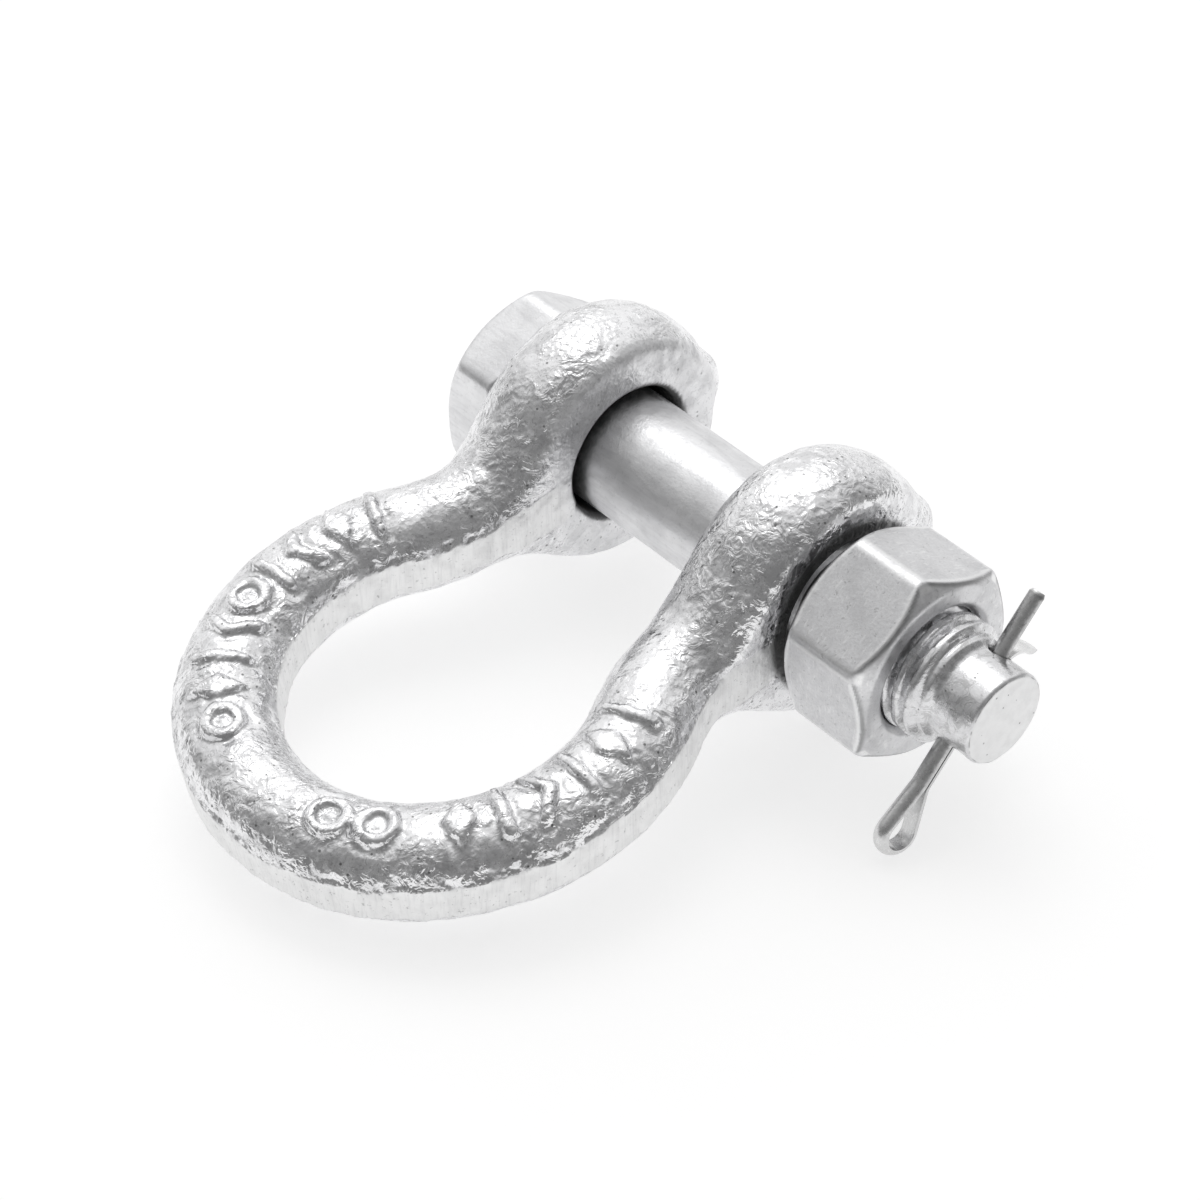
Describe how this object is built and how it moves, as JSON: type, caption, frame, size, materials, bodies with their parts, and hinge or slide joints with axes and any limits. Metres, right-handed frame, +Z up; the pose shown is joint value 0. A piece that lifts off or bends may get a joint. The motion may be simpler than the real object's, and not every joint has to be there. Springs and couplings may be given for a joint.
{
  "type": "bow shackle",
  "caption": "Galvanised forged bow shackle closed by a hex-head bolt, a hexagon nut and a split pin, for joining slings, chain and rope.",
  "frame": {"origin": "on the bolt axis, midway between the two ears", "axes": "+X towards the crown of the bow, +Y along the bolt towards the nut and the split pin, +Z up as the shackle lies at rest on both ears and the crown; the floor is z = -23.5 mm"},
  "size_m": [0.1251, 0.1205, 0.047],
  "materials": {
    "bow": "hot-dip galvanised forging: bright lumpy zinc, pale sheared flash band",
    "bolt": "hot-dip galvanised, satin shank, zinc-filled thread",
    "nut": "galvanised, smooth satin grey with fine scratches",
    "cotter": "dull grey plated half-round wire"
  },
  "bodies": {
    "bow_body": {"bow": "bow"},
    "bolt_body": {"bolt": "bolt"},
    "nut_body": {"nut": "nut"},
    "cotter_body": {"cotter": "cotter"}
  },
  "joints": [
    {"name": "bolt_spin", "type": "hinge", "parent": "bow_body", "child": "bolt_body", "pos_m": [0, 0, 0], "axis": [0, 1, 0], "continuous": true},
    {"name": "nut_turn", "type": "hinge", "parent": "bolt_body", "child": "nut_body", "pos_m": [0, 0.047, 0], "axis": [0, 1, 0], "range_deg": [-240, 960]},
    {"name": "cotter_slide", "type": "slide", "parent": "bolt_body", "child": "cotter_body", "axis": [-0.682, 0, 0.7314], "range_m": [0, 0.009]}
  ]
}
